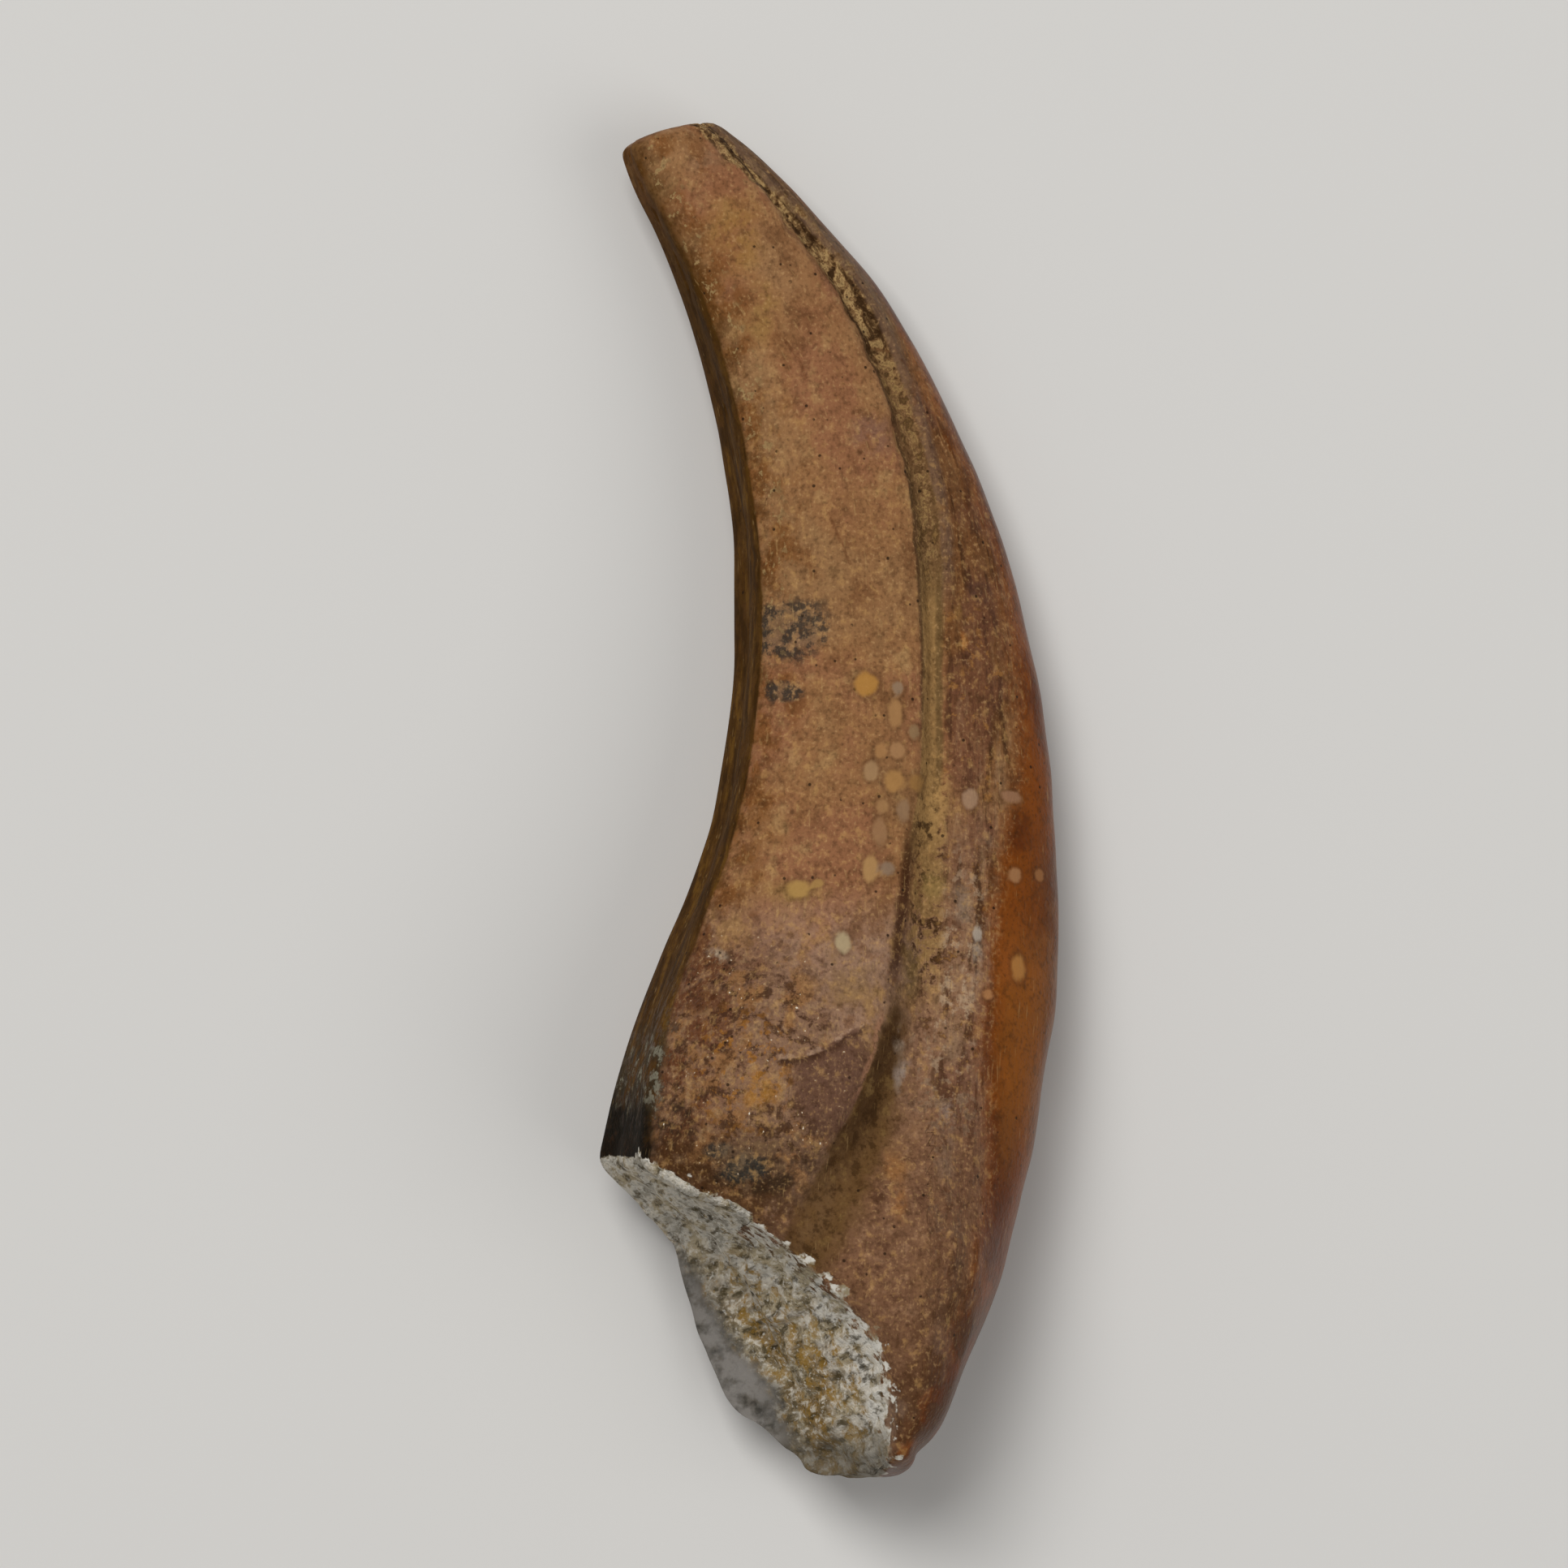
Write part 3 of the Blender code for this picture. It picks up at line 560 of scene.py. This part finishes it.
def smooth_line(points):
    """Closely spaced points of a smooth line through the given points."""
    points = np.array(points, float)
    slopes = np.gradient(points, axis=0)
    fine = np.linspace(0, len(points) - 1, int(len(points) * LINE_GAP / LINE_STEP))
    start = np.clip(fine.astype(int), 0, len(points) - 2)
    t = (fine - start)[:, None]
    return (
        points[start] * (1 + 2 * t) * (1 - t) ** 2
        + slopes[start] * t * (1 - t) ** 2
        + points[start + 1] * t**2 * (3 - 2 * t)
        - slopes[start + 1] * t**2 * (1 - t)
    )


def beside(points, line):
    """Signed distance from a line, + towards the back, and the place along it."""
    line = smooth_line(line)
    lengths = np.linalg.norm(np.diff(line, axis=0), axis=1)
    along = np.concatenate([[0], np.cumsum(lengths)])
    best = np.full(len(points), np.inf)
    nearest = np.zeros(len(points), int)
    share = np.zeros(len(points))
    for i, (start, end) in enumerate(zip(line, line[1:])):
        run = end - start
        offset = points[:, :2] - start
        part = np.clip(offset @ run / (run @ run), 0, 1)
        distance = np.linalg.norm(offset - part[:, None] * run, axis=1)
        closer = distance < best
        best[closer] = distance[closer]
        nearest[closer] = i
        share[closer] = part[closer]
    # The side is told from the line's heading, which turns evenly from point to point.
    heading = np.gradient(line, axis=0)
    mix = share[:, None]
    foot = line[nearest] * (1 - mix) + line[nearest + 1] * mix
    run = heading[nearest] * (1 - mix) + heading[nearest + 1] * mix
    gap = points[:, :2] - foot
    side = np.where(run[:, 0] * gap[:, 1] - run[:, 1] * gap[:, 0] >= 0, 1, -1)
    return best * side, along[nearest] + share * lengths[nearest]


def bumpy(points, size, seed):
    """Noise from -1 to 1, with lumps of about that size, in the units of the points."""
    shifted = points / size + seed * SEED_SHIFT
    return np.array([noise.noise(p) for p in shifted])


def pitted(points, size, seed):
    """Distance to the nearest of scattered pit centres, as a share of their spacing."""
    shifted = points / size + seed * SEED_SHIFT
    return np.array([noise.voronoi(p)[0][0] for p in shifted])


def blob(points, centre, reach):
    """1 at a centre in the claw's plane, falling to about nothing at twice the reach."""
    offset = (points[:, :2] - centre) / reach
    return np.exp(-(offset**2).sum(axis=1))


def blobs(points, areas):
    """The strongest of several blobs at each point."""
    return np.maximum.reduce(
        [strength * blob(points, centre, reach) for centre, reach, strength in areas]
    )


def nearest_oval(points, ovals):
    """How far each point is from the nearest oval's centre, 1 on its edge, and its colour."""
    centres = np.array([centre for centre, *_ in ovals])
    reaches = np.array([(wide, high) for _, wide, high, _ in ovals])
    paints = np.array([linear(paint) for *_, paint in ovals])
    gaps = np.linalg.norm((points[:, None, :2] - centres) / reaches, axis=2)
    return gaps.min(axis=1), paints[gaps.argmin(axis=1)]


def measured(mesh):
    """The mesh's points and normals in the claw's plane, and as they are in the scene."""
    places = np.empty(len(mesh.vertices) * 3)
    mesh.vertices.foreach_get("co", places)
    places = places.reshape(-1, 3)
    directions = np.empty(len(mesh.vertices) * 3)
    mesh.vertices.foreach_get("normal", directions)
    directions = directions.reshape(-1, 3)
    turn = FACES_DOWN.rotation_difference(Vector((0, 0, -1))).to_matrix()
    to_plane = np.array(turn.inverted()).T
    points = (places - PLANE_ORIGIN) @ to_plane / MM
    return points, directions @ to_plane, (places, directions)


class ClawShape(bpy.types.PropertyGroup):
    relief: bpy.props.FloatProperty(
        name="Relief",
        description="Strength of the lumps, ridges and pits of the weathered surface",
        default=1.0,
        min=0.0,
        max=2.0,
        subtype="FACTOR",
    )
    pit_depth: bpy.props.FloatProperty(
        name="Pit depth",
        description="Depth of the pits in the joint's open spongy bone",
        default=0.16 * MM,
        min=0.0,
        unit="LENGTH",
    )


class ClawColours(bpy.types.PropertyGroup):
    bone: bpy.props.FloatVectorProperty(
        name="Bone",
        description="Tan brown of the smooth sides",
        default=linear("#926742"),
        size=4,
        min=0.0,
        max=1.0,
        subtype="COLOR",
    )
    back: bpy.props.FloatVectorProperty(
        name="Back",
        description="Orange brown of the polished back",
        default=linear("#7e400f"),
        size=4,
        min=0.0,
        max=1.0,
        subtype="COLOR",
    )
    joint: bpy.props.FloatVectorProperty(
        name="Joint",
        description="Grey tan of the open spongy bone at the joint",
        default=linear("#998a6e"),
        size=4,
        min=0.0,
        max=1.0,
        subtype="COLOR",
    )


class StageSettings(bpy.types.PropertyGroup):
    floor: bpy.props.FloatVectorProperty(
        name="Floor",
        description="Colour of the table",
        default=linear("#dcdad6"),
        size=4,
        min=0.0,
        max=1.0,
        subtype="COLOR",
    )
    camera_distance: bpy.props.FloatProperty(
        name="Camera distance",
        description="From the camera to the claw",
        default=0.45,
        min=0.1,
        unit="LENGTH",
    )


def add(tree, kind, links=None, **settings):
    """Adds a shader node with its settings, and its inputs as links or values."""
    node = tree.nodes.new("ShaderNode" + kind)
    for name, value in settings.items():
        setattr(node, name, value)
    for name, value in (links or {}).items():
        if isinstance(value, bpy.types.NodeSocket):
            tree.links.new(value, node.inputs[name])
        else:
            node.inputs[name].default_value = value
    return node


class LayeredBone:
    """The bone's fields and patterns as shader values, and the masks made from them."""

    def __init__(self, tree):
        self.tree = tree
        self.spaces = {
            name: add(tree, "Attribute", attribute_name=name).outputs["Vector"] for name in SPACES
        }
        parts = add(tree, "SeparateXYZ", {"Vector": self.spaces["plane"]})
        self.values = {"y": parts.outputs["Y"]}
        for name in FIELDS:
            self.values[name] = add(tree, "Attribute", attribute_name=name).outputs["Fac"]
        for i, (name, (space, across, along, deep, detail, rough)) in enumerate(PATTERNS.items()):
            place = self.scaled(space, (1 / across, 1 / along, 1 / deep), PATTERN_SHIFT * i)
            links = {"Vector": place, "Scale": 1.0, "Detail": detail, "Roughness": rough}
            self.values[name] = add(tree, "TexNoise", links).outputs["Fac"]
        place = self.scaled("plane", (1 / PORE_SPACING,) * 3, 0.0)
        pores = add(tree, "TexVoronoi", {"Vector": place, "Scale": 1.0})
        self.values["pore"] = pores.outputs["Distance"]
        place = self.scaled("plane", (1 / RAGGED_SIZE,) * 3, RAGGED_SHIFT)
        uneven = add(tree, "TexNoise", {"Vector": place, "Scale": 1.0, "Detail": 4.0})
        self.ragged = self.sum(uneven.outputs["Fac"], -0.5)

    def scaled(self, space, factors, shift):
        """A space's coordinates times the factors, and shifted."""
        links = {0: self.spaces[space], 1: factors, 2: (shift, shift, shift)}
        return add(self.tree, "VectorMath", links, operation="MULTIPLY_ADD").outputs[0]

    def times(self, first, second):
        """The product of two values."""
        return add(self.tree, "Math", {0: first, 1: second}, operation="MULTIPLY").outputs[0]

    def sum(self, first, second):
        """The sum of two values."""
        return add(self.tree, "Math", {0: first, 1: second}, operation="ADD").outputs[0]

    def step(self, value, start, full):
        """A smooth step of a value, from 0 at start to 1 at full. It stays between them
        without the node's own clamp, which would make the shader too big to render."""
        links = {"Value": value, "From Min": start, "From Max": full}
        settings = {"interpolation_type": "SMOOTHSTEP", "clamp": False}
        return add(self.tree, "MapRange", links, **settings).outputs[0]

    def mask(self, limits, ragged=0.0):
        """Where all the limits are met, with ragged edges."""
        mask = None
        for name, start, full in limits:
            value = self.values[name]
            if ragged and name not in PATTERNS:
                value = self.sum(value, self.times(self.ragged, ragged))
            part = self.step(value, start, full)
            mask = part if mask is None else self.times(mask, part)
        return mask

    def blend(self, below, above, mask):
        """One colour over another, as far as the mask says."""
        links = {0: mask, 6: below, 7: above}
        return add(self.tree, "Mix", links, data_type="RGBA").outputs[2]


def fossil_bone(colours):
    """Permineralized bone, worn in a river: the minerals stain it in clouds from tan to dark
    brown, its dense skin has a satin gloss, and its open spongy bone is chalky and pale."""
    material = bpy.data.materials.new("fossil_bone")
    material.use_nodes = True
    tree = material.node_tree
    shader = tree.nodes["Principled BSDF"]
    # The worn skin reflects little, and warmly, so the pale room doesn't wash out its browns.
    shader.inputs["Specular IOR Level"].default_value = 0.10
    shader.inputs["Specular Tint"].default_value = linear("#eabd8c")
    bone = LayeredBone(tree)
    named = {"back": tuple(colours.back), "joint": tuple(colours.joint)}
    for name in PAINTS:
        named[name] = add(tree, "Attribute", attribute_name=name).outputs["Color"]

    colour = tuple(colours.bone)
    for paint, strength, limits, ragged in LAYERS:
        mask = bone.times(bone.mask(limits, ragged), strength)
        colour = bone.blend(colour, named.get(paint) or linear(paint), mask)
    tree.links.new(colour, shader.inputs["Base Color"])

    roughness = GROUND_ROUGHNESS
    for value, limits in GLOSS:
        links = {0: bone.mask(limits), 2: roughness, 3: value}
        roughness = add(tree, "Mix", links, data_type="FLOAT").outputs[0]
    tree.links.new(roughness, shader.inputs["Roughness"])

    height = None
    for name, tall, limits in BUMPS:
        value = bone.times(bone.values[name], tall)
        if limits:
            value = bone.times(value, bone.mask(limits))
        height = value if height is None else bone.sum(height, value)
    bump = add(tree, "Bump", {"Height": height, "Distance": MM, "Strength": 1.0})
    tree.links.new(bump.outputs["Normal"], shader.inputs["Normal"])
    return material


def joint_field(points, normals, rim):
    """1 well inside the joint's open face, 0.5 on its rim, and less and less outside it."""
    x, y, z = points.T
    notch = np.exp(-(((points - NOTCH) / NOTCH_REACH) ** 2).sum(axis=1))
    # On the far half the face ends where the bone turns away from it, but not in the notch.
    far_side = ease(0.45, 0.15, normals @ JOINT_FACES) * ease(-2.0, -3.2, z)
    far_side = far_side * (1 - ease(0.2, 0.5, notch))
    # The stub's broken end is told by its direction, because the rim runs along it.
    stub = ease(0.50, 0.68, normals @ STUB_FACES) * ease(-13.0, -13.6, y)
    stub = stub * ease(0.8, 0.3, rim) * ease(-3.0, -4.5, x)
    joint = np.maximum(np.clip(0.5 - rim, OUTSIDE, 1), np.minimum(4 * stub + OUTSIDE, 1))
    return joint - (joint - OUTSIDE) * far_side


def scratch_fields(points, near):
    """Signed distance to the nearest scratch, and where scratches show."""
    scratch = np.full(len(points), FAR_OFF)
    shows = np.zeros(len(points))
    for line in SCRATCHES:
        gap, place = beside(points, line)
        closer = near & (np.abs(gap) < np.abs(scratch))
        scratch[closer] = gap[closer]
        ends = ease(0.0, 0.3, place) * ease(place.max(), place.max() - 0.3, place)
        shows = np.maximum(shows, near * ends * ease(0.6, 0.3, np.abs(gap)))
    return scratch, shows


def claw_fields(points, normals):
    """Where each point lies on the claw: what the relief and the shader's layers go by.

    The lines give signed distances in mm, + towards the back, and the soft areas 0 to 1.
    """
    x, y, z = points.T
    near = z > 0
    lip, _ = beside(points, GROOVE_LIP)
    rail, _ = beside(points, GROOVE_RAIL)
    margin, _ = beside(points, MARGIN)
    edge, _ = beside(points, CREASE)
    rim, _ = beside(points, JOINT_RIM)
    fold, _ = beside(points, FOLD)
    across, along = beside(points, GRAIN_LINE)
    flake_edge, _ = beside(points, FLAKE_EDGE)
    # Where the sides are steep the underside is told by its direction.
    under = ease(0.62, 0.90, -normals[:, 0]) * ease(1.4, 0.9, np.abs(edge))
    flake = ease(0.08, -0.08, flake_edge) * blob(points, *FLAKE) * ease(0.15, -0.2, lip)
    flake_edge_on = near * ease(2.0, 1.4, np.abs(x + 1.2)) * ease(1.0, 0.6, np.abs(flake_edge))
    scratch, scratch_on = scratch_fields(points, near)
    reach = CHANNEL_REACH + CHANNEL_FLARE * ease(-10.0, -13.5, y)
    channel = ease(-0.7, 0.5, lip) * ease(reach, 0.3 * reach, lip) * ease(-6.0, -10.5, y)
    spot, spot_colour = nearest_oval(points, SPOTS)
    patch, patch_colour = nearest_oval(points, PATCHES)
    return {
        "plane": points,
        "grain": np.stack([across, along, z], axis=1),
        "lip": lip,
        "rail": rail,
        "margin": margin,
        "edge": edge,
        "crease": edge - 0.6 * under,
        "rim": rim,
        "fold": fold,
        "joint": joint_field(points, normals, rim),
        "bulge": blob(points, *TUBERCLE) * ease(0.8, -0.4, lip),
        "flake": flake,
        "flake_edge": flake_edge,
        "flake_edge_on": flake_edge_on,
        "scratch": scratch,
        "scratch_on": scratch_on,
        "channel": channel,
        "stain": blobs(points, STAINS),
        "dark": blobs(points, DARK_CORNER),
        "soot": near * blobs(points, SMOKY_STAIN),
        "spot": np.where(near, spot, FAR_OFF),
        "spot_colour": spot_colour,
        "patch": np.where(near, patch, FAR_OFF),
        "patch_colour": patch_colour,
    }


def claw_relief(points, fields):
    """How far each point is raised in mm, and how far it is into a pit, from 0 to 1."""
    lip, rail, margin, edge = (fields[name] for name in ("lip", "rail", "margin", "edge"))
    y, z = points[:, 1], points[:, 2]
    grain = fields["grain"] / GRAIN_STRETCH
    floor = ease(0.05, 0.25, lip) * ease(0.15, -0.15, rail)
    band = ease(-0.2, 0.4, rail) * ease(0.8, -0.4, margin)
    sponge = np.clip(fields["joint"], 0, 1)
    side = (1 - sponge) * ease(-0.3, 0.1, edge)
    towards_tip = ease(5.0, 9.0, y)
    towards_joint = ease(2.0, -6.0, y)

    # Low lumps on the sides, and crumbs of sediment in the groove.
    lift = LUMPS * bumpy(points, 2.2, 1) * side
    lift += SEDIMENT * bumpy(points, 0.30, 2) * floor * towards_tip
    # The groove's lip is chipped, and its other side is a low rail.
    chips = ease(0.10, 0.40, bumpy(points, 0.8, 3)) * ridge(lip, 0.30)
    lift -= CHIPS * chips * ease(6.0, 10.0, y) * side
    lift += RAIL * ridge(rail - 0.15, 0.20) * ease(5.0, 10.0, y) * side
    # Long ridges and lumps in the band beside it, stronger towards the joint.
    lift += (RIDGES + MORE_RIDGES * towards_joint) * bumpy(grain, 0.55, 4) * band
    lift += BAND_LUMPS * bumpy(points, 0.9, 5) * band * ease(0.0, -6.0, y)
    # The rough tubercle, with its raised flake.
    rough = ROUGH_LUMPS * bumpy(points, 1.0, 6) + ROUGH_GRAINS * bumpy(points, 0.45, 7)
    lift += fields["bulge"] * rough * side
    lift += FLAKE_HEIGHT * fields["flake"]
    # The better side's edge to the underside is worn here and there.
    worn_edge = ridge(edge, 0.28) * ease(-6.0, -2.0, y) * (z > 0)
    lift -= WORN_EDGE * ease(0.1, 0.5, bumpy(points, 0.7, 8)) * worn_edge
    # Open spongy bone: lumps, crumbs and pits, drawn out from side to side.
    open_sponge = sponge * ease(-0.5, 0.3, fields["fold"]) * ease(0.3, -0.4, fields["rim"])
    deep = points / SPONGE_STRETCH
    lift += open_sponge * (
        SPONGE_LUMPS * bumpy(deep, 1.0, 9) + SPONGE_CRUMBS * bumpy(deep, 0.45, 10)
    )
    pits = open_sponge * ease(0.45, 0.10, pitted(points, 0.55, 11))
    return lift, pits


def softened(points, fields):
    """How strongly the edges are rounded at each point, from 0 to 1."""
    y, edge, lip = points[:, 1], fields["edge"], fields["lip"]
    tip_edge = ROUND_TIP * ridge(edge, 0.5) * ease(12.0, 18.0, y)
    shaft_edge = ROUND_SHAFT * ridge(edge, 0.4)
    mid_lip = ROUND_LIP * ridge(lip, 0.5) * ease(9.0, 7.0, y)
    low_lip = ridge(lip - 0.2, 1.0) * ease(-4.0, -8.0, y)
    return np.clip(np.maximum.reduce([tip_edge, shaft_edge, mid_lip, low_lip]), 0, 1)


def apply_modifier(claw, kind, **settings):
    """Adds a modifier with its settings and applies it to the active object."""
    modifier = claw.modifiers.new(kind.lower(), kind)
    for name, value in settings.items():
        setattr(modifier, name, value)
    bpy.ops.object.modifier_apply(modifier=modifier.name)


class FOSSIL_OT_claw_bone(bpy.types.Operator):
    """Makes the weathered claw bone from the plain solid that it replaces"""

    bl_idname = "fossil.claw_bone"
    bl_label = "Claw Bone"

    def execute(self, context):
        shape = context.scene.fossil_shape
        bpy.ops.object.select_all(action="DESELECT")
        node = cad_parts["claw"]
        claw = bpy.data.objects.new("claw_bone", node.data.copy())
        context.scene.collection.objects.link(claw)
        claw.data.materials.clear()
        claw.select_set(True)
        context.view_layer.objects.active = claw
        bpy.ops.object.mode_set(mode="EDIT")
        bpy.ops.mesh.select_all(action="SELECT")
        bpy.ops.mesh.remove_doubles(threshold=MERGE_WITHIN)
        bpy.ops.mesh.tris_convert_to_quads(face_threshold=QUAD_ANGLE, shape_threshold=QUAD_ANGLE)
        bpy.ops.object.mode_set(mode="OBJECT")
        apply_modifier(claw, "SUBSURF", levels=SUBDIVISIONS, render_levels=SUBDIVISIONS)

        points, normals, _ = measured(claw.data)
        round_off = claw.vertex_groups.new(name="round_off")
        for i, weight in enumerate(softened(points, claw_fields(points, normals))):
            if weight > LEAST_WEIGHT:
                round_off.add((i,), weight, "REPLACE")
        apply_modifier(claw, "SMOOTH", vertex_group=round_off.name, iterations=SMOOTH_ROUNDS)
        claw.vertex_groups.clear()

        mesh = claw.data
        points, normals, (places, directions) = measured(mesh)
        fields = claw_fields(points, normals)
        lift, pits = claw_relief(points, fields)
        lift = lift * MM * shape.relief - pits * shape.pit_depth
        moved = places + directions * lift[:, None]
        low, high = (np.array(corner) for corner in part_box("claw"))
        mesh.vertices.foreach_set("co", np.clip(moved, low, high).ravel())
        for names, kind, part in ATTRIBUTES:
            for name in names:
                attribute = mesh.attributes.new(name, kind, "POINT")
                attribute.data.foreach_set(part, fields[name].ravel())
        mesh.update()
        bpy.ops.object.shade_smooth()
        mesh.materials.append(fossil_bone(context.scene.fossil_colours))
        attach(claw, "root")
        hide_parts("claw")
        return {"FINISHED"}


def painted_floor(colour):
    """Pale matt paint: an even ground that takes soft shadows."""
    material = bpy.data.materials.new("floor_paint")
    material.use_nodes = True
    shader = material.node_tree.nodes["Principled BSDF"]
    shader.inputs["Base Color"].default_value = colour
    shader.inputs["Roughness"].default_value = 0.8
    return material


class FOSSIL_OT_stage(bpy.types.Operator):
    """Makes the table, the soft lights and the camera, which looks down on the claw"""

    bl_idname = "fossil.stage"
    bl_label = "Stage"

    def execute(self, context):
        settings = context.scene.fossil_stage
        bpy.ops.object.select_all(action="DESELECT")
        bpy.ops.mesh.primitive_plane_add(size=FLOOR_SIZE, location=(0, 0, 0))
        floor = context.active_object
        floor.name = "floor"
        floor.data.materials.append(painted_floor(tuple(settings.floor)))
        for name, place, size, power in LIGHTS:
            light = bpy.data.lights.new(name, "AREA")
            light.size = size
            light.energy = power
            lamp = bpy.data.objects.new(name, light)
            lamp.location = place
            lamp.rotation_euler = Vector(place).to_track_quat("Z", "Y").to_euler()
            context.scene.collection.objects.link(lamp)
        world = bpy.data.worlds.new("studio")
        world.use_nodes = True
        background = world.node_tree.nodes["Background"]
        background.inputs["Color"].default_value = (1.0, 1.0, 1.0, 1.0)
        background.inputs["Strength"].default_value = WORLD_STRENGTH
        context.scene.world = world
        context.scene.view_settings.view_transform = "Standard"
        camera = bpy.data.objects.new("camera", bpy.data.cameras.new("camera"))
        camera.data.lens = CAMERA_SENSOR * settings.camera_distance / FRAME_WIDTH
        camera.data.sensor_width = CAMERA_SENSOR
        camera.rotation_euler = CAMERA_TURN
        away = camera.rotation_euler.to_matrix().col[2]
        camera.location = Vector(CAMERA_AIM) + away * settings.camera_distance
        context.scene.collection.objects.link(camera)
        context.scene.camera = camera
        return {"FINISHED"}


class FOSSIL_PT_panel(bpy.types.Panel):
    """Lists the claw's pieces and the stage"""

    bl_idname = "FOSSIL_PT_panel"
    bl_label = "Fossil Claw"
    bl_space_type = "VIEW_3D"
    bl_region_type = "UI"
    bl_category = "Fossil Claw"

    def draw(self, context):
        scene = context.scene
        for name in ("fossil_shape", "fossil_colours", "fossil_stage"):
            group = getattr(scene, name)
            for setting in group.bl_rna.properties.keys():
                if setting not in ("rna_type", "name"):
                    self.layout.prop(group, setting)
        for operator in OPERATORS:
            self.layout.operator(operator.bl_idname)


OPERATORS = (FOSSIL_OT_claw_bone, FOSSIL_OT_stage)
CLASSES = (ClawShape, ClawColours, StageSettings, *OPERATORS, FOSSIL_PT_panel)


def register():
    for cls in CLASSES:
        bpy.utils.register_class(cls)
    bpy.types.Scene.fossil_shape = bpy.props.PointerProperty(type=ClawShape)
    bpy.types.Scene.fossil_colours = bpy.props.PointerProperty(type=ClawColours)
    bpy.types.Scene.fossil_stage = bpy.props.PointerProperty(type=StageSettings)


def unregister():
    for name in ("fossil_shape", "fossil_colours", "fossil_stage"):
        delattr(bpy.types.Scene, name)
    for cls in reversed(CLASSES):
        bpy.utils.unregister_class(cls)


def main():
    register()
    bpy.ops.fossil.claw_bone()
    bpy.ops.fossil.stage()


if __name__ == "__main__":
    main()
